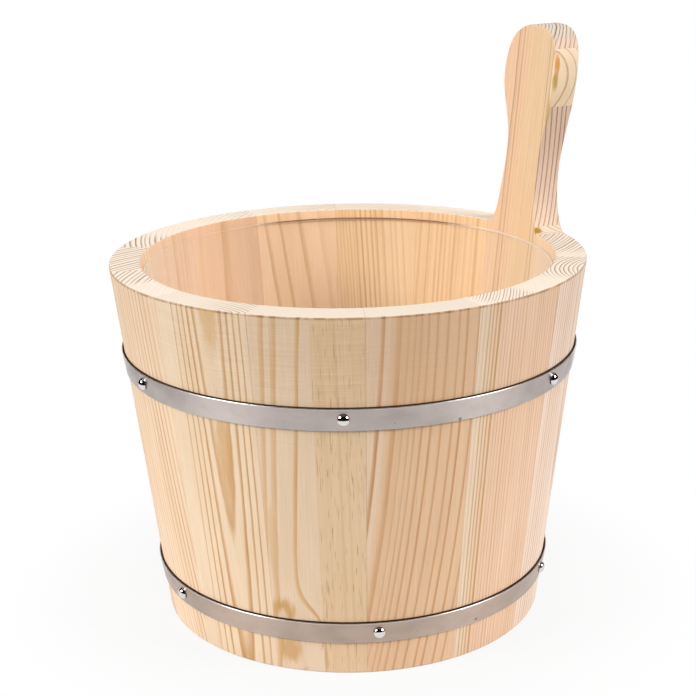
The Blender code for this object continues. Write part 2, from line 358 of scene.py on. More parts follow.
def pine(
    name,
    turn,
    heart,
    rings=(),
    spacing=2.4,
    fine=0.25,
    lean=0.0,
    bow=0.0,
    dip=0.0,
    level=0.087,
    early=(0.82, 0.62, 0.42),
    late=(0.55, 0.28, 0.08),
    bold=None,
    tints=(),
    flank=None,
    wobble=0.5,
    pores=0.12,
    rim=None,
    rim_tone_and_light=1.0,
    face_lines=1.0,
    thin=0.0,
    end_from=(0.45, 0.85),
    saw=0.0,
    swell=None,
    spots=(),
):
    """Bare pine. The rings are shells round the log's heart, given in millimetres out from and across the
    stave's outer face at a level; they lean or bow up the stave, dip towards the face for arched grain, and
    swell round a flame. Fine and thin set how dark and how narrow the plain years are, between the named rings.
    Tints are other colours across the board and flank that of its narrow sides, where face_lines leaves the
    years dark. Spots are resin and other marks, on the handle also a painted highlight; saw is how much the
    saw's teeth still show, and end_from is how level a face lies before it shows end grain. Painted shade
    darkens the outer wall towards the rim and the rim's outer arris, painted shadows run along the hoops, and
    painted light makes the inner wall below the liner's top a little paler."""
    finish, shader, tone = new_finish(name)
    seed = sum(map(ord, name)) % 97 * 1.37
    place = tone.place()
    origin = Matrix.Rotation(turn, 3, "Z") @ Vector((outside(level), 0, level))
    board = tone.millimetres(place, origin, (0, wall_tilt, turn))
    out, across, up = board.parts()
    normal = tone.node("TexCoord", {}, {}, 1)
    height = place.parts()[2]
    end = normal.parts()[2]
    end = end.sums("ABSOLUTE", end)
    end = end.between(*end_from).larger(end.between(0.45, 0.85) * height.between(0.25, 0.27))

    wander = (board.stretched((28, 28, 120), seed).noise() - 0.5) * (2 * wobble)
    ripple = (board.stretched((3, 3, 16), seed + 3).noise() - 0.5) * 0.3
    bent = across - (up * bow + lean) * up
    reach = ((out + up * dip - heart[0]) ** 2 + (bent - heart[1]) ** 2) ** 0.5 + wander + ripple
    if swell:
        middle_across, middle_up, wide, tall, rise = swell
        away = ((bent - middle_across) / wide) ** 2 + ((up - middle_up) / tall) ** 2
        reach = reach + rise * reach.sums("POWER", math.exp(-1), away)
    starts, rises, peaks = 0.52 + 0.3 * thin, 0.78 + 0.12 * thin, 0.93 + 0.03 * thin
    stops = [(0.0, 0.35), (0.06, 0.0), (starts, 0.02), (rises, 0.5), (peaks, 1.0), (1.0, 0.75)]
    line, strength = ring_lines(reach / spacing, stops, seed, 0.9, 0.35)
    dark = line * (0.35 + strength * 0.65) * fine
    fade = 0.55 + board.stretched((9, 9, 60), seed + 5).noise() * 0.9
    patch = board.stretched((16, 16, 90), seed + 11).noise(3.0).between(0.35, 0.65)
    pale = patch.mixed(colour(*early), colour(*(c * f for c, f in zip(early, (0.97, 0.94, 0.90)))))
    for start, stop, tint in tints:
        pale = bent.between(start, stop).mixed(pale, colour(*tint))
    if flank:
        outwards = (math.cos(turn), math.sin(turn), 0)
        flat = normal.node("VectorMath", {"operation": "DOT_PRODUCT"}, {0: normal, 1: outwards}, 1)
        flat = flat.sums("ABSOLUTE", flat).between(0.3, 0.8)
        pale = flat.mixed(colour(*flank), pale)
        fade = fade * (1 - flat * (1 - face_lines))
    dark = dark * fade
    face = dark.mixed(pale, colour(*late))
    if rings:
        named = ring_table(reach, rings) * fade
        face = named.mixed(face, colour(*(bold or late)))
        dark = dark.larger(named)
    fibre = board.stretched((0.7, 0.7, 34), seed + 17).noise(3.0)
    dash = board.stretched((0.4, 0.4, 11), seed + 23).noise(0.0).between(0.68, 0.80)
    outer = out.between(-6, -3)
    # Painted shade: the outer wall is made a little darker from the upper hoop up to the rim.
    shade = 0.90 + fibre * 0.20 - height.band(0.12, 0.19, 0.20, 0.22) * outer * 0.07
    # Painted light: the inner wall below the liner's top is made a little paler.
    shade = shade + (1 - outer) * (1 - height.between(0.1945, 0.197)) * 0.03
    if saw:
        teeth = board.stretched((30, 30, 0.6), seed + 41).noise(2.0) - 0.5
        shade = shade + teeth * up.between(20, 80) * saw
    face = (dash * pores).mixed(face.times(shade), pore_brown)
    for spot, size, tint, depth in spots:
        away = board.node("VectorMath", {"operation": "SUBTRACT"}, {0: board, 1: spot}).stretched(size)
        near = away.node("VectorMath", {"operation": "LENGTH"}, {0: away}, 1)
        ragged = near + (board.stretched((1.1, 1.1, 9), seed).noise() - 0.5) * 0.9
        face = ((1 - ragged.between(0.45, 1.15)) * depth).mixed(face, colour(*tint))
    # Painted shadows: a near-black line on the wood in the gap above each hoop, and a fainter one just below it.
    for seat in hoop_seats.values():
        over = height - (seat + strip_wide)
        shadow_above_hoop = over.band(-0.0018, -0.0010, 0.0002, 0.0006) * outer
        face = (shadow_above_hoop * 0.97).mixed(face, painted_shadow_black)
        shadow_below_hoop = (height - seat).band(-0.0006, -0.0001, 0.0004, 0.0008) * outer
        face = (shadow_below_hoop * 0.5).mixed(face, painted_shadow_black)

    end_face = end_grain(board, ripple, seed, rim, rim_tone_and_light)
    # Painted shade along the rim's outer arris, in patches and stronger on the year lines.
    arris_patches = board.stretched((5, 5, 5), seed + 37).noise().between(0.35, 0.65)
    arris = (height - rim_height).band(-0.0017, -0.0011, -0.0004, -0.0001) * outer
    arris = arris * (0.22 + arris_patches * 0.40 + dark * 0.5)
    feed(shader, "Base Color", arris.mixed(end.mixed(face, end_face), arris_shade_brown))
    feed(shader, "Roughness", 0.60 - dark * 0.12 + fibre * 0.08)
    relief = fibre * 0.6 + dark * 0.5 - dash * 0.6
    feed(shader, "Normal", tone.node("Bump", {}, {"Strength": 0.18, "Distance": 0.0002, "Height": relief}))
    shader.inputs["Specular IOR Level"].default_value = 0.4
    return finish


def stave_turn(number):
    return handle_angle + number * stave_angle


# Where each stave lay in the log, and the rings that show most: distance from the heart, width and depth.
rosy_early, rosy_late = (0.872, 0.695, 0.572), (0.54, 0.27, 0.11)
faint_rim = ((-150, -90), 3.6, 0.35, (-99, -90, -30, 30))
# rim_tone_and_light scales a stave's end grain; besides its own tone, the rim is made paler on the back staves and
# darker on the front ones, as painted light.
stave_grain = {
    1: dict(
        heart=(20, -75), level=0.182, rim_tone_and_light=1.05, early=(0.89, 0.60, 0.35), fine=0.22, spacing=3.2, lean=-0.012,
        rings=[(69.9, 2.2, 0.45), (76.3, 1.8, 0.3), (80.4, 1.5, 0.3), (83.2, 1.6, 0.6), (85.6, 1.2, 0.25),
               (88.6, 1.4, 0.35), (91.2, 1.4, 0.45), (94.1, 1.3, 0.35), (99.7, 1.6, 0.5), (105.3, 1.5, 0.35)],
        rim=faint_rim,
    ),
    2: dict(
        heart=(10, 75), level=0.182, rim_tone_and_light=1.05, early=(0.92, 0.635, 0.385), fine=0.10, spacing=1.8, lean=0.064,
        rings=[(58.7, 0.9, 0.3), (60.3, 0.9, 0.25), (61.9, 0.9, 0.35), (63.6, 0.9, 0.3), (65.2, 0.9, 0.35),
               (67.0, 0.8, 0.25), (68.7, 1.2, 0.5), (71.5, 1.2, 0.65), (74.4, 1.3, 0.55), (77.4, 1.3, 0.65),
               (80.4, 2.0, 0.45), (84.6, 2.3, 0.35), (89.2, 1.5, 0.25), (92.2, 1.4, 0.3), (96.4, 1.5, 0.3)],
        rim=faint_rim, wobble=0.3,
    ),
    3: dict(
        heart=(-45, -40), level=0.182, rim_tone_and_light=1.05, early=(0.95, 0.66, 0.425), fine=0.03, spacing=5.0, lean=0.116,
        rings=[(37.0, 3.0, 0.2), (46.9, 3.0, 0.45), (57.2, 2.0, 0.5), (65.2, 2.6, 0.5)],
        rim=faint_rim,
    ),
    4: dict(
        heart=(-50, -35), level=0.182, rim_tone_and_light=1.02, early=(0.83, 0.545, 0.36), fine=0.03, spacing=6.0, lean=-0.04,
        rings=[(37.1, 5.0, 0.1), (49.5, 4.5, 0.5), (63.0, 3.0, 0.15)],
        rim=faint_rim,
    ),
    5: dict(
        heart=(-58, -39), level=0.182, early=(0.81, 0.57, 0.41), fine=0.10, spacing=3.0, lean=-0.048,
        rings=[(44.7, 1.6, 0.25), (46.3, 1.8, 0.3), (48.8, 2.4, 0.25), (52.7, 3.2, 0.35), (60.8, 3.4, 0.2)],
        rim=((-181, -84), 2.9, 1.0, (-10, 8, 90, 99)),
    ),
    6: dict(
        heart=(52, -45), early=(0.88, 0.67, 0.48), late=rosy_late, fine=0.7, spacing=2.2, lean=-0.03,
        rim=((-138, 146), 3.8, 1.0, (-45, -25, 90, 99)),
    ),
    7: dict(
        heart=(56.4, -41.4), early=(0.90, 0.685, 0.485), late=rosy_late, fine=0.45, spacing=2.1, lean=-0.08,
        bow=0.00033,
        rings=[(74.6, 1.1, 0.45), (77.9, 1.0, 0.6), (80.5, 1.0, 0.8), (83.7, 1.2, 0.8), (86.7, 1.0, 0.65),
               (90.2, 1.0, 0.55)],
        rim=((-161, 119), 2.9, 1.0, (-99, -90, -6, 4)),
    ),
    8: dict(
        heart=(20, 7.5), level=0.0865, early=(0.84, 0.655, 0.463), late=(0.54, 0.26, 0.07), fine=0.03, spacing=2.6,
        dip=0.019, wobble=0.35, saw=0.24, rim_tone_and_light=0.93,
        rings=[(18.0, 0.7, 0.4), (20.4, 0.9, 0.75), (22.4, 0.9, 0.9), (24.7, 0.8, 0.9), (27.2, 0.8, 0.9),
               (30.5, 0.8, 0.65)],
        spots=[((0, 7.5, 112), (9, 6, 24), (0.62, 0.35, 0.13), 0.6),
               ((0, 8, 38), (9, 5, 30), (0.60, 0.32, 0.11), 0.65)],
        rim=((40, 7.5), 2.4, 0.8, (-10, 26, 90, 99)),
    ),
    10: dict(
        heart=(-15, -80), early=(0.78, 0.525, 0.33), late=(0.56, 0.27, 0.10), fine=0.10, spacing=3.4, lean=0.096,
        bow=-0.0004, wobble=0.4, saw=0.14, rim_tone_and_light=0.89, tints=[(-20, -24, (0.80, 0.60, 0.42))],
        rings=[(56.1, 2.6, 1.0), (64.3, 3.0, 0.65), (68.0, 1.2, 0.45), (71.3, 1.2, 0.55), (74.2, 1.2, 0.6),
               (78.0, 1.5, 0.75), (82.5, 1.5, 0.9), (88.0, 1.6, 0.8), (93.7, 1.5, 0.8), (98.1, 1.6, 1.0),
               (104.2, 1.6, 0.8), (109.5, 1.6, 0.8)],
        spots=[((0, 0, 100), (14, 45, 55), (0.66, 0.41, 0.25), 0.35)],
    ),
    11: dict(
        heart=(-69, -58), early=(0.84, 0.585, 0.42), late=rosy_late, fine=0.95, spacing=1.45, lean=-0.01, wobble=0.3,
        bold=(0.45, 0.28, 0.06), tints=[(-17, -22, (0.82, 0.64, 0.46))],
        rings=[(76.3, 0.5, 0.6), (77.6, 0.4, 0.4), (78.8, 0.5, 0.65), (80.3, 0.6, 0.8)],
        rim=((-155, -125), 1.6, 0.9, (-27, -16, 2, 10)),
    ),
    12: dict(
        heart=(25, 12), early=rosy_early, late=rosy_late, fine=1.0, spacing=2.5, dip=0.012,
        rim=((26, 9), 2.3, 0.95, (-24, -6, 90, 99)),
    ),
    13: dict(
        heart=(44.6, -22.7), early=rosy_early, late=rosy_late, fine=1.0, spacing=2.7,
        spots=[((-17, 0, 70), (8, 60, 140), (0.85, 0.61, 0.41), 0.85)],
        rim=((-172, 101), 2.3, 1.0, (-24, -6, 90, 99)),
    ),
}
# One stave is glued up from two boards, which meet at the glue line.
glued_stave = 9
glued_left = dict(
    heart=(-42, -42), early=(0.80, 0.61, 0.43), late=(0.60, 0.32, 0.10), fine=0.03, spacing=5.0, lean=0.06,
    wobble=0.9, swell=(3.5, -66, 14, 23, -11.5), saw=0.26, rim_tone_and_light=0.89,
    rings=[(35.0, 2.0, 0.5), (43.2, 1.7, 0.6), (46.6, 2.2, 0.65), (53.4, 1.5, 0.85), (64.0, 1.6, 0.45)],
    spots=[((-2, -22, -11), (9, 3.2, 27), (0.66, 0.42, 0.20), 0.55),
           ((-1.5, -18.6, -51.5), (9, 7.5, 8.5), (0.58, 0.31, 0.10), 0.85),
           ((-1.5, -19.5, -56), (9, 3.5, 6.5), (0.80, 0.61, 0.43), 0.8),
           ((-1, -16, -75), (9, 7.5, 9), (0.60, 0.33, 0.12), 0.8),
           ((0, -3, -80), (9, 7.5, 12), (0.80, 0.61, 0.43), 1.0)],
)
glued_right = dict(
    heart=(-50, -30), early=(0.78, 0.565, 0.36), fine=0.05, spacing=4.0, pores=0.75, saw=0.30, rim_tone_and_light=0.89,
    rings=[(62.9, 1.0, 0.12), (66.4, 0.9, 0.25), (68.7, 0.9, 0.2), (71.3, 0.9, 0.12)],
    spots=[((0, 2.8, -78), (9, 1.2, 11), (0.60, 0.36, 0.16), 0.7)],
)
glue_line = math.radians(-98.36)

pattern_stave = plain_stave()
staves = {}
for number in range(1, stave_count):
    turn = stave_turn(number)
    name = f"pine_stave_{number:02d}"
    stave = placed_copy(pattern_stave, name, Matrix.Rotation(turn, 4, "Z"))
    if number == glued_stave:
        stave.data.materials.append(pine(name + "_left", turn, **glued_left))
        stave.data.materials.append(pine(name + "_right", turn, **glued_right))
        for face in stave.data.polygons:
            face.material_index = int(math.atan2(face.center.y, face.center.x) > glue_line)
    else:
        stave.data.materials.append(pine(name, turn, **stave_grain[number]))
    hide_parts(f"stave_{number:02d}")
    staves[number] = stave
clear_away(pattern_stave)


# Handle stave
# The fourteenth board is left longer than the wall and band-sawn to a paddle grip above the rim, with a hollow
# shoulder each side and its sharp edges taken off. It is glued up from a board and a strip, both with rings
# that lie aslant, so they show as bold lines on the flanks.
handle_top, top_offset = 0.3173, 0.0025
square_height = 0.226
waists = {1: (0.0171, 0.249), -1: (0.0134, 0.236)}
bulges = {1: (0.0257, 0.2885), -1: (0.0213, 0.2885)}
grip_rounding = 0.0012
strips, shoulder_cuts = 22, 7
shoulder_bow, dome_bow = 0.5523, 0.72
curve_steps = 14, 16, 20


def soft_rise(value):
    value = min(max(value, 0), 1)
    return value * value * (3 - 2 * value)


def handle_outline():
    """The long stave laid flat, from its foot up the right side, over the grip and down the left."""
    half = stave_angle / 2 - joint_gap / rim_radius
    foot = half * (foot_radius - wall / 2)
    rim = half * (rim_radius - wall / 2)
    curves = []
    for side in (1, -1):
        (waist, waist_height), (bulge, bulge_height) = waists[side], bulges[side]
        swell = (bulge_height - waist_height) / 3
        dome = handle_top - bulge_height
        top = side * top_offset
        knots = [
            ((rim, rim_height), None, (-shoulder_bow * (rim - waist), 0)),
            ((waist, waist_height), (0, -shoulder_bow * (waist_height - rim_height)), (0, swell)),
            ((bulge, bulge_height), (0, -swell), (0, dome_bow * dome)),
            ((top, handle_top), (dome_bow * (bulge - top), 0), None),
        ]
        line = [Vector((foot, 0, 0))]
        for (start, _, away), (stop, back, _), steps in zip(knots, knots[1:], curve_steps):
            start, away, back, stop = (Vector((*spot, 0)) for spot in (start, away, back, stop))
            line += interpolate_bezier(start, start + away, stop + back, stop, steps + 1)[:-1]
        line.append(Vector((top, handle_top, 0)))
        curves.append([Vector((side * point.x, point.y, 0)) for point in line])
    return curves[0] + curves[1][-2::-1]


def bend_to_wall(spot):
    """A point of the flat board on the cone: mitred at the joints below the rim, square-edged at the grip."""
    across, height, depth = spot
    mean = outside(height) - wall / 2
    radius = mean + depth
    square = soft_rise((height - rim_height) / (square_height - rim_height))
    angle = (1 - square) * across / mean + square * math.asin(across / radius)
    return Vector((radius * math.cos(angle), radius * math.sin(angle), height))


outline = handle_outline()
put_down()
bpy.ops.mesh.primitive_circle_add(vertices=len(outline), radius=1, fill_type="NGON")
handle = bpy.context.object
handle.name = handle.data.name = "pine_handle_stave"
take_up(handle)
board = bmesh.from_edit_mesh(handle.data)
for corner, point in zip(sorted(board.verts, key=lambda corner: corner.index), outline):
    corner.co = point - Vector((0, 0, wall / 2))
bmesh.update_edit_mesh(handle.data)
bpy.ops.mesh.extrude_region_move(TRANSFORM_OT_translate={"value": (0, 0, wall)})
bpy.ops.mesh.select_all(action="SELECT")
bpy.ops.mesh.normals_make_consistent(inside=False)


def on_outline(edge, low, high):
    first, second = (corner.co for corner in edge.verts)
    return abs(first.z - second.z) < hair and all(low < spot.y < high for spot in (first, second))


choose(handle, "EDGE", lambda edge: on_outline(edge, rim_height - hair, 1))
bpy.ops.mesh.bevel(offset=grip_rounding, segments=3, profile=0.5)
choose(handle, "EDGE", lambda edge: on_outline(edge, -1, hair))
bpy.ops.mesh.bevel(offset=eased_edge, segments=3, profile=0.5)
glue_foot, glue_lean = Vector((-0.0213, 0.2056, 0)), 0.0243
grip_strip_from = 0.04
bpy.ops.mesh.select_all(action="SELECT")
split(glue_foot, (1, -glue_lean, 0))
board = bmesh.from_edit_mesh(handle.data)
for face in board.faces:
    spot = middle(face) - glue_foot
    if spot.x <= glue_lean * spot.y:
        face.material_index = 1 if spot.y > grip_strip_from else 2
bmesh.update_edit_mesh(handle.data)
strip_width = stave_angle * rim_radius / strips
for number in range(1, strips):
    bpy.ops.mesh.select_all(action="SELECT")
    split(((number - strips / 2) * strip_width, 0, 0), (1, 0, 0))
for step in range(shoulder_cuts):
    bpy.ops.mesh.select_all(action="SELECT")
    height = rim_height + hair + (square_height - rim_height) * step / (shoulder_cuts - 1)
    split((0, height, 0), (0, 1, 0))
place_corners(handle, bend_to_wall)
place_corners(handle, lambda spot: Matrix.Rotation(handle_angle, 3, "Z") @ spot)
close_up(handle)


def groove_ring():
    """What the groove's plough takes out, as a ring."""
    put_down()
    bpy.ops.mesh.primitive_plane_add(size=2)
    ring = bpy.context.object
    take_up(ring)
    inside = foot_radius - 2 * wall

    def stand(spot):
        return Vector((groove_floor if spot.x > 0 else inside, 0, groove_high if spot.y > 0 else groove_low))

    place_corners(ring, stand)
    bpy.ops.mesh.spin(steps=stave_count * stave_facets, angle=math.tau, center=(0, 0, 0), axis=(0, 0, 1))
    bpy.ops.mesh.select_all(action="SELECT")
    bpy.ops.mesh.remove_doubles(threshold=weld)
    choose(ring, "FACE", lambda face: abs(face.normal.y) > 0.99 and abs(middle(face).y) < hair)
    bpy.ops.mesh.delete(type="FACE")
    close_up(ring)
    return ring


def cut_out(piece, cutter):
    cut = piece.modifiers.new("cut", "BOOLEAN")
    cut.operation = "DIFFERENCE"
    cut.solver = "EXACT"
    cut.object = cutter
    apply_all(piece)


plough = groove_ring()
cut_out(handle, plough)
clear_away(plough)
handle_marks_and_highlight = [
    ((-16.6, -21.0, 60), (2.2, 2.5, 7.5), (0.66, 0.29, 0.05), 1.0),
    ((-16.8, -20.8, 51), (2.1, 2.5, 7.0), (0.50, 0.32, 0.08), 1.0),
    ((-17.5, -21.8, -35.0), (2.7, 3.0, 2.7), (0.36, 0.20, 0.02), 1.0),
    ((-18.2, -18.6, 30), (2.0, 1.9, 15), (0.55, 0.38, 0.13), 0.7),
    # Painted highlight: a pale streak down the grip's arris.
    ((-18.7, -19.8, 62), (0.8, 1.0, 26), (0.97, 0.82, 0.58), 0.6),
]
strip_heart, strip_late, right_half = (-31.1, -95.1), (0.34, 0.19, 0.10), (-99, -90, -10, 10)
on_handle = dict(level=0.236, wobble=0.2, spots=handle_marks_and_highlight)
for finish in (
    pine("pine_handle_stave", handle_angle, heart=(-60.9, 29.9), fine=0.55, spacing=1.5,
         early=(0.82, 0.595, 0.37), late=(0.56, 0.30, 0.13), bold=(0.22, 0.12, 0.065), flank=(0.75, 0.54, 0.41),
         face_lines=0.55, tints=[(2, 9, (0.82, 0.55, 0.345))], rim_tone_and_light=0.80, end_from=(0.90, 0.985),
         rim=((-60.9, 29.9), 2.0, 1.0, (-60, -40, 90, 99)),
         rings=[(45.6, 0.5, 0.9), (46.3, 0.4, 0.4), (47.4, 0.5, 0.8), (62.4, 0.7, 0.9), (64.8, 0.7, 0.9),
                (67.3, 0.7, 0.9), (69.9, 0.7, 0.9), (72.2, 0.7, 0.9), (74.4, 0.7, 0.9), (76.8, 0.7, 0.9),
                (79.0, 0.7, 0.9)], **on_handle),
    pine("pine_handle_strip", handle_angle, heart=strip_heart, fine=0.95, spacing=2.0, thin=1.0,
         early=(0.82, 0.63, 0.43), late=strip_late, rim_tone_and_light=0.9,
         rim=(strip_heart, 2.0, 0.8, right_half), **on_handle),
    pine("pine_handle_shoulder", handle_angle, heart=(-71.5, -94), fine=1.0, spacing=2.0, thin=0.5,
         early=(0.84, 0.60, 0.405), late=strip_late, flank=(0.80, 0.58, 0.45), face_lines=0.12, rim_tone_and_light=0.9,
         rim=(strip_heart, 2.0, 0.9, right_half), end_from=(0.90, 0.985), **on_handle),
):
    handle.data.materials.append(finish)
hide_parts("handle_stave")
staves[0] = handle


# Bottom
# Three pine boards laid edge to edge and sawn to a round that sits in the staves' groove, under the liner.
# Their edges are eased, so that the joints show as fine lines.
bottom_low, bottom_thick = 0.0143, 0.010
bottom_facets, heart_spread = 160, 0.006
bottom_play, board_gap, board_easing = 0.0003, 0.0003, 0.0006
bottom_radius = groove_floor - bottom_play
board_width = 2 * bottom_radius / 3
bottoms = []
for number in range(3):
    put_down()
    bpy.ops.mesh.primitive_cylinder_add(
        vertices=bottom_facets, radius=bottom_radius, depth=bottom_thick,
        location=(0, 0, bottom_low + bottom_thick / 2),
    )
    board = bpy.context.object
    board.name = board.data.name = f"pine_bottom_{number + 1}"
    bpy.ops.object.transform_apply(location=True, rotation=True, scale=True)
    take_up(board)
    left = number * board_width - bottom_radius + board_gap / 2
    right = left + board_width - board_gap
    if number > 0:
        bpy.ops.mesh.select_all(action="SELECT")
        bpy.ops.mesh.bisect(plane_co=(left, 0, 0), plane_no=(1, 0, 0), use_fill=True, clear_inner=True)
    if number < 2:
        bpy.ops.mesh.select_all(action="SELECT")
        bpy.ops.mesh.bisect(plane_co=(right, 0, 0), plane_no=(1, 0, 0), use_fill=True, clear_outer=True)
    bpy.ops.mesh.select_mode(type="EDGE")
    bpy.ops.mesh.select_all(action="DESELECT")
    bpy.ops.mesh.edges_select_sharp(sharpness=math.radians(60))
    bpy.ops.mesh.bevel(offset=board_easing, segments=2, profile=0.5)
    close_up(board)
    board.data.materials.clear()
    bottoms.append(board)


def bottom_pine(name, shift, seed):
    """Flat-sawn boards that lie along Y, with long arched grain on their faces."""
    finish, shader, tone = new_finish(name)
    heart, heart_tilt, spacing = (shift, 0, -0.055), 0.03, 3.1
    board = tone.millimetres(tone.place(), heart, (heart_tilt, 0, 0))
    across, along, up = board.parts()
    wander = (board.stretched((30, 120, 30), seed).noise() - 0.5) * 3
    reach = (across ** 2 + up ** 2) ** 0.5 + wander
    stops = [(0.0, 0.35), (0.08, 0.0), (0.5, 0.06), (0.9, 1.0), (1.0, 0.6)]
    line, strength = ring_lines(reach / spacing, stops, seed)
    dark = line * (0.3 + strength * 0.5)
    fibre = board.stretched((0.7, 34, 0.7), seed).noise(3.0)
    face = dark.mixed(colour(0.80, 0.60, 0.40), colour(0.60, 0.36, 0.16)).times(0.90 + fibre * 0.20)
    feed(shader, "Base Color", face)
    feed(shader, "Roughness", 0.64 - dark * 0.12)
    feed(shader, "Normal", tone.node("Bump", {}, {"Strength": 0.18, "Distance": 0.0002, "Height": fibre}))
    return finish


for number, board in enumerate(bottoms):
    shift = (number - 1) * (board_width + heart_spread)
    board.data.materials.append(bottom_pine(board.name, shift, 7.0 * number))
    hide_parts(f"bottom_board_{number + 1}")
    even_shading(board, angle=20)
    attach(board, "pail")


# Hoops
# Two strips of satin stainless steel, drawn tight round the cone and lapped at the back under one nail. The cone
# is steeper than the strip, so its lower edge bites and its upper edge stands a little off the wood.
strip_thick, strip_easing = 0.0006, 0.00027
strip_facets, strip_lap = 240, 0.024
hoop_nails = {
    "upper": (-149.3, -91.6, -32.6, 28.5, 89.0, 149.7),
    "lower": (-147.1, -83.3, -18.6, 37.5, 98.0, 156.0),
}
lapped_nail = 4
strip_foot_gap, strip_top_gap = 0.0003, 0.0010
lap_lift, laps_of_rise = strip_thick + strip_foot_gap, 1.2


def wound_strip(name, height, lap_angle):
    """A flat strip wound once round the cone, its last end lifted over its first."""
    lap = strip_lap / outside(height)
    whole = math.tau + lap
    put_down()
    bpy.ops.mesh.primitive_grid_add(x_subdivisions=strip_facets, y_subdivisions=4, size=2)
    strip = bpy.context.object
    strip.name = strip.data.name = name
    take_up(strip)

    def wind(spot):
        wound = whole * (spot.x + 1) / 2
        rise = (spot.y + 1) / 2
        lift = lap_lift * soft_rise((wound - math.tau) / lap + laps_of_rise)
        level = height + strip_wide * rise
        radius = outside(level) + strip_foot_gap + (strip_top_gap - strip_foot_gap) * rise + lift
        angle = lap_angle - lap / 2 + wound
        return Vector((radius * math.cos(angle), radius * math.sin(angle), level))

    place_corners(strip, wind)
    bpy.ops.mesh.select_all(action="SELECT")
    bpy.ops.mesh.normals_make_consistent(inside=False)
    put_down()
    first = strip.data.polygons[0]
    if first.normal.dot(Vector((first.center.x, first.center.y, 0))) < 0:
        strip.data.flip_normals()
    shell = strip.modifiers.new("thickness", "SOLIDIFY")
    shell.thickness = strip_thick
    shell.offset = 1
    shell.use_even_offset = True
    arris = strip.modifiers.new("arris", "BEVEL")
    arris.width = strip_easing
    arris.segments = 3
    arris.limit_method = "ANGLE"
    arris.angle_limit = math.radians(50)
    apply_all(strip)
    return strip


def satin_steel(name):
    """Steel strip polished round its length: fine scratches, smudges, specks and two nicks; a warm tint and a
    pale upper edge that are painted reflection and painted highlight, the lower hoop warmer and darker.
    """
    finish, shader, tone = new_finish(name)
    place = tone.place()
    x, y, z = place.parts()
    angle = x.sums("ARCTAN2", y, x)
    turned = tone.node("CombineXYZ", {}, {0: angle * 0.12, 1: 0.0, 2: z})
    scratch = turned.stretched((0.045, 1.0, 0.00035)).noise(4.0)
    smudge = place.stretched((0.016, 0.016, 0.010)).noise(3.0)
    speck = place.stretched((0.0016, 0.0016, 0.0016)).noise(1.0).between(0.74, 0.80)
    shade = 0.94 + scratch * 0.12 - smudge * 0.10
    # Painted reflection: both hoops are tinted warm for the wood they reflect, and the lower hoop is painted warmer
    # and darker.
    above = z.between(0.05, 0.10)
    pale = above.mixed(colour(0.57, 0.45, 0.375), colour(0.645, 0.565, 0.53))
    dull = above.mixed(colour(0.52, 0.41, 0.34), colour(0.59, 0.52, 0.485))
    steel = smudge.between(0.35, 0.7).mixed(pale, dull).times(shade)
    steel = (speck * 0.5).mixed(steel, colour(0.22, 0.19, 0.17))
    # Painted highlight: a pale line along each hoop's upper edge.
    for seat in hoop_seats.values():
        over = z - (seat + strip_wide)
        painted_edge_highlight = over.band(-0.0008, -0.0004, 0.0005, 0.0010)
        steel = (painted_edge_highlight * 0.75).mixed(steel, colour(0.95, 0.88, 0.85))
    nicks = (-64.3, 0.1429), (-54.2, 0.0214)
    for degrees, level in nicks:
        spot = Matrix.Rotation(math.radians(degrees), 3, "Z") @ Vector((outside(level) + 0.001, 0, level))
        away = place.node("VectorMath", {"operation": "DISTANCE"}, {0: place, 1: spot}, 1)
        steel = (0.8 - 0.8 * away.between(0.0006, 0.0012)).mixed(steel, colour(0.20, 0.16, 0.13))
    feed(shader, "Base Color", steel)
    feed(shader, "Roughness", 0.25 + scratch * 0.10 + smudge * 0.10)
    feed(shader, "Normal", tone.node("Bump", {}, {"Strength": 0.10, "Distance": 0.0001, "Height": scratch}))
    shader.inputs["Metallic"].default_value = 1.0
    shader.inputs["Anisotropic"].default_value = 0.85
    shader.inputs["Anisotropic Rotation"].default_value = 0.25
    return finish


steel = satin_steel("satin_steel")
hoops = {}
for name, angles in hoop_nails.items():
    hoop = wound_strip(f"steel_{name}_hoop", hoop_seats[name], math.radians(angles[lapped_nail]))
    hoop.data.materials.clear()
    hoop.data.materials.append(steel)
    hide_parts(f"{name}_hoop")
    hoops[name] = hoop


# Nails
# Twelve polished dome-headed nails, six to a hoop, driven through the strip into the staves. A hole is drilled
# for each shank, and the head sits flat on the steel.
head_radius, head_height = 0.00325, 0.0022
shank_radius, shank_length = 0.0009, 0.012
point_length, point_share = 2 * shank_radius, 0.05
head_gap = 0.0003
hole_play, hole_top, hole_length = 0.0002, 0.0028, 0.016
strip_tilt = math.atan2(slope * strip_wide + strip_top_gap - strip_foot_gap, strip_wide)


def nail_pattern():
    """Half a ball for the head, flattened, with the shank drawn out of its flat side to a point."""
    put_down()
    bpy.ops.mesh.primitive_uv_sphere_add(segments=40, ring_count=24, radius=1)
    nail = bpy.context.object
    take_up(nail)
    bpy.ops.mesh.bisect(plane_co=(0, 0, 0), plane_no=(0, 0, 1), clear_inner=True, use_fill=True)
    place_corners(nail, lambda spot: Vector((spot.x * head_radius, spot.y * head_radius, spot.z * head_height)))
    choose(nail, "FACE", lambda face: face.normal.z < -0.9 or len(face.verts) > 4)
    bpy.ops.mesh.inset(thickness=head_radius - shank_radius)
    for length, share in ((shank_length - point_length, 1), (point_length, point_share)):
        bpy.ops.mesh.extrude_region_move(TRANSFORM_OT_translate={"value": (0, 0, -length)})
        bpy.ops.transform.resize(value=(share, share, 1), center_override=(0, 0, 0))
    close_up(nail)
    return nail


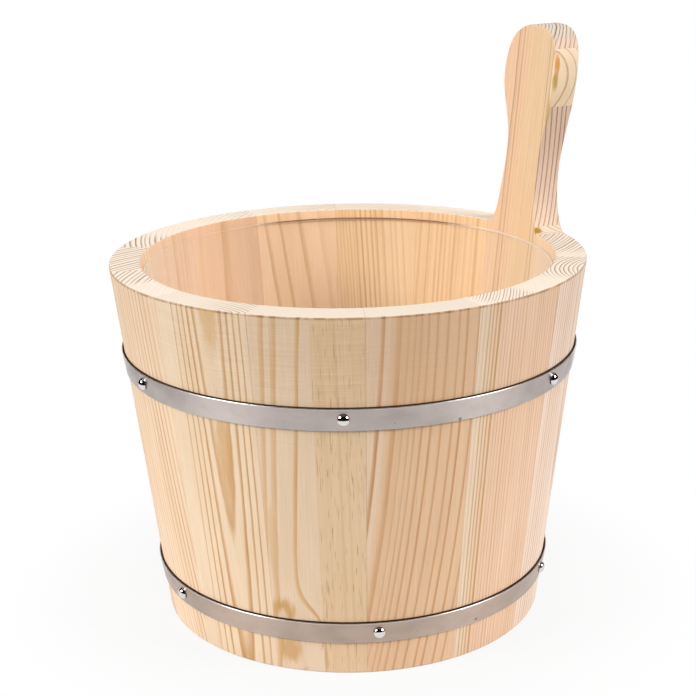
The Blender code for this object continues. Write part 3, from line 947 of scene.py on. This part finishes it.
def nail_place(degrees, hoop_height, lift):
    """On the outer face of the strip, half-way up it and square to it."""
    height = hoop_height + strip_wide / 2
    face = outside(height) + (strip_foot_gap + strip_top_gap) / 2 + strip_thick + head_gap + lift
    out = Matrix.Translation((face, 0, height)) @ Matrix.Rotation(math.pi / 2 + strip_tilt, 4, "Y")
    return Matrix.Rotation(math.radians(degrees), 4, "Z") @ out


def drill():
    put_down()
    bpy.ops.mesh.primitive_cylinder_add(
        vertices=24, radius=shank_radius + hole_play, depth=hole_length, location=(0, 0, hole_top - hole_length / 2)
    )
    bit = bpy.context.object
    bpy.ops.object.transform_apply(location=True, rotation=True, scale=True)
    return bit


def nearest_stave(angle):
    return min(staves, key=lambda number: abs(math.remainder(stave_turn(number) - angle, math.tau)))


def polished_steel(name):
    finish, shader, tone = new_finish(name)
    place = tone.place()
    haze = place.stretched((0.0009, 0.0009, 0.0009)).noise(3.0)
    feed(shader, "Base Color", haze.mixed(colour(0.80, 0.78, 0.76), colour(0.66, 0.64, 0.62)))
    feed(shader, "Roughness", 0.04 + haze * 0.06)
    shader.inputs["Metallic"].default_value = 1.0
    return finish


polish = polished_steel("polished_steel")
nail = nail_pattern()
bit = drill()
for name, angles in hoop_nails.items():
    for number, degrees in enumerate(angles):
        place = nail_place(degrees, hoop_seats[name], lap_lift if number == lapped_nail else 0)
        driven = placed_copy(nail, f"steel_nail_{name}_{number + 1}", place)
        driven.data.materials.clear()
        driven.data.materials.append(polish)
        even_shading(driven, angle=50)
        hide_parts(f"nail_{name}_{number + 1}")
        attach(driven, "pail")
        hole = placed_copy(bit, "drilled_hole", place)
        cut_out(staves[nearest_stave(math.radians(degrees))], hole)
        cut_out(hoops[name], hole)
        clear_away(hole)
clear_away(nail, bit)
for stave in staves.values():
    even_shading(stave)
    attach(stave, "pail")
for hoop in hoops.values():
    even_shading(hoop)
    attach(hoop, "pail")


# Liner
# A thin clear plastic cup, drawn to the wall's cone with a round corner at its floor. It stands loose on the
# bottom, a little below the wooden rim, and lifts straight out; only its lip shows.
liner_low, liner_top = 0.0246, 0.1962
liner_wall, liner_play = 0.0012, 0.0006
liner_corner, lip_rounding = 0.006, 0.0003
liner_facets = 168
liner_outside = outside(liner_top) - wall - liner_play
liner_foot = liner_outside - slope * (liner_top - liner_low)
put_down()
bpy.ops.mesh.primitive_cone_add(
    vertices=liner_facets, radius1=liner_foot, radius2=liner_outside, depth=liner_top - liner_low,
    end_fill_type="NGON", location=(0, 0, (liner_low + liner_top) / 2),
)
liner = bpy.context.object
liner.name = liner.data.name = "clear_liner"
bpy.ops.object.transform_apply(location=True, rotation=True, scale=True)
take_up(liner)
choose(liner, "FACE", lambda face: face.normal.z > 0.9)
bpy.ops.mesh.delete(type="FACE")
choose(liner, "EDGE", lambda edge: all(abs(corner.co.z - liner_low) < hair for corner in edge.verts))
bpy.ops.mesh.bevel(offset=liner_corner, segments=6, profile=0.5)
put_down()
shell = liner.modifiers.new("thickness", "SOLIDIFY")
shell.thickness = liner_wall
shell.offset = -1
shell.use_even_offset = True
lip = liner.modifiers.new("lip", "BEVEL")
lip.width = lip_rounding
lip.segments = 3
lip.limit_method = "ANGLE"
lip.angle_limit = math.radians(60)
apply_all(liner)


def clear_plastic(name):
    """Clear plastic: almost nothing face on and greyer edge on, a painted reflection; a painted shadow line round
    the back of its lip and a painted highlight just below the lip.
    """
    finish, shader, tone = new_finish(name)
    place = tone.place()
    x, y, z = place.parts()
    radius = (x ** 2 + y ** 2) ** 0.5
    angle = x.sums("ARCTAN2", y, x)
    inner = 1 - radius.between(liner_outside - 0.0010, liner_outside - 0.0008)
    # Painted shadow: a dark brown line round the lip, only over the back of the liner.
    shaded = angle.band(0.75, 1.05, 1.9, 2.2)
    lip = z.between(liner_top - 0.0007, liner_top - 0.0005)
    dark = lip * shaded
    # Painted highlight: a pale line below the lip on its inner face, stronger towards the right.
    light = inner * z.between(liner_top - 0.0011, liner_top - 0.0009) * (1 - dark)
    haze = place.stretched((0.03, 0.03, 0.05)).noise(3.0)
    right = 1 - angle.between(0.8, 1.1)
    # Painted reflection: the sheet turns greyer and more opaque edge on.
    edge_on = tone.node("LayerWeight", {}, {"Blend": 0.5}, 1) ** 5
    sheet = edge_on.mixed(colour(1.0, 0.90, 0.80), colour(0.50, 0.54, 0.55))
    feed(shader, "Base Color", dark.mixed(sheet, colour(0.30, 0.12, 0.03)))
    rest = 0.004 + haze * 0.012 + edge_on * 0.40
    feed(shader, "Alpha", rest + light * (0.08 + right * 0.34) + dark * 0.70)
    feed(shader, "Roughness", 0.08 + haze * 0.10)
    return finish


liner.data.materials.clear()
liner.data.materials.append(clear_plastic("clear_plastic"))
even_shading(liner)
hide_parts("liner")
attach(liner, "liner")


# Studio
# A white table and backdrop, soft lamps to the left and right of the camera with a weak one above it and one
# behind, and dark surroundings that only polished metal sees, as in a small darkened studio.
table_radius, surround_radius, surround_foot = 6, 3, 0.55
surround_low, open_back_height = 0.002, 1.3


def seen_directly(tone):
    """1 for what the camera sees, also by reflection or through the liner, and 0 for light on the pieces."""
    rays = "Is Camera Ray", "Is Glossy Ray", "Is Transmission Ray"
    straight, mirrored, through = (tone.node("LightPath", {}, {}, ray) for ray in rays)
    return straight.larger(mirrored).larger(through)


put_down()
bpy.ops.mesh.primitive_circle_add(vertices=96, radius=table_radius, fill_type="NGON")
floor = bpy.context.object
floor.name = floor.data.name = "white_table"
paper, shader, tone = new_finish("white_table")
shader.inputs["Roughness"].default_value = 1.0
shader.inputs["Specular IOR Level"].default_value = 0.0
x, y, z = tone.place().parts()
away = (x ** 2 + y ** 2) ** 0.5
feed(shader, "Base Color", away.between(0.38, 0.55).mixed(colour(0.58, 0.58, 0.58), colour(0.10, 0.10, 0.10)))
far = away.between(0.11, 0.22)
glow = seen_directly(tone) * (0.86 + far * 0.14)
white = tone.node("Emission", {}, {"Color": colour(1, 1, 1), "Strength": 1.0})
lit = Tone(tone.tree, shader.outputs[0])
sheet = tone.node("MixShader", {}, {0: glow, 1: lit, 2: white})
tone.tree.links.new(sheet.socket, tone.tree.nodes["Material Output"].inputs["Surface"])
floor.data.materials.append(paper)


def at_open_back(spot):
    return spot.y > abs(spot.x) and spot.z < open_back_height


put_down()
bpy.ops.mesh.primitive_uv_sphere_add(segments=48, ring_count=24, radius=surround_radius)
card = bpy.context.object
card.name = card.data.name = "dark_surround"
take_up(card)
bpy.ops.mesh.bisect(plane_co=(0, 0, surround_low), plane_no=(0, 0, 1), clear_inner=True, use_fill=True)
choose(card, "FACE", lambda face: face.normal.z < -0.9 or len(face.verts) > 4)
bpy.ops.mesh.inset(thickness=surround_radius - surround_foot)
bpy.ops.mesh.delete(type="FACE")
choose(card, "FACE", lambda face: at_open_back(middle(face)))
bpy.ops.mesh.delete(type="FACE")
put_down()
black, shader, tone = new_finish("dark_surround")
shader.inputs["Base Color"].default_value = colour(0.012, 0.011, 0.010)
shader.inputs["Roughness"].default_value = 1.0
shader.inputs["Specular IOR Level"].default_value = 0.0
card.data.materials.append(black)
card.visible_camera = False
card.visible_diffuse = False
card.visible_shadow = False
card.visible_transmission = False

lamp_aim = Vector((0, 0, 0.14))


def soft_lamp(name, azimuth, elevation, size, power, distance=2.4):
    """A square softbox aimed at the bucket, placed round it from the front."""
    az, el = math.radians(azimuth), math.radians(elevation)
    away = Vector((math.sin(az) * math.cos(el), -math.cos(az) * math.cos(el), math.sin(el)))
    light = bpy.data.lights.new(name, "AREA")
    light.shape = "SQUARE"
    light.size = size
    light.energy = power
    lamp = bpy.data.objects.new(name, light)
    lamp.location = lamp_aim + away * distance
    lamp.rotation_euler = away.to_track_quat("Z", "Y").to_euler()
    bpy.context.scene.collection.objects.link(lamp)
    return lamp


soft_lamp("left_lamp", azimuth=-66, elevation=30, size=1.1, power=48)
soft_lamp("right_lamp", azimuth=70, elevation=30, size=1.1, power=46)
soft_lamp("fill_lamp", azimuth=0, elevation=48, size=1.2, power=17).visible_glossy = False
soft_lamp("back_lamp", azimuth=180, elevation=38, size=1.8, power=20).visible_glossy = False

world = bpy.data.worlds.new("white_studio")
bpy.context.scene.world = world
world.use_nodes = True
sky = Tone(world.node_tree)
backdrop = world.node_tree.nodes["Background"]
feed(backdrop, "Strength", 0.20 + seen_directly(sky) * 0.80)
backdrop.inputs["Color"].default_value = colour(1, 1, 1)

look_down, roll = math.radians(17.2011), -0.01767
aim_height, camera_distance = 0.1458, 0.86962
lens, sensor = 79.71, 36
picture_width, shift_pixels = 696, -1.29
forward = Vector((0, math.cos(look_down), -math.sin(look_down)))
level_right = Vector((1, 0, 0))
level_up = level_right.cross(forward)
right = math.cos(roll) * level_right + math.sin(roll) * level_up
upright = math.cos(roll) * level_up - math.sin(roll) * level_right
camera = bpy.data.objects.new("camera", bpy.data.cameras.new("camera"))
camera.data.lens = lens
camera.data.sensor_width = sensor
camera.data.shift_x = shift_pixels / picture_width
spot = Vector((0, 0, aim_height)) - camera_distance * forward
camera.matrix_world = Matrix.Translation(spot) @ Matrix((right, upright, -forward)).transposed().to_4x4()
bpy.context.scene.collection.objects.link(camera)
bpy.context.scene.camera = camera
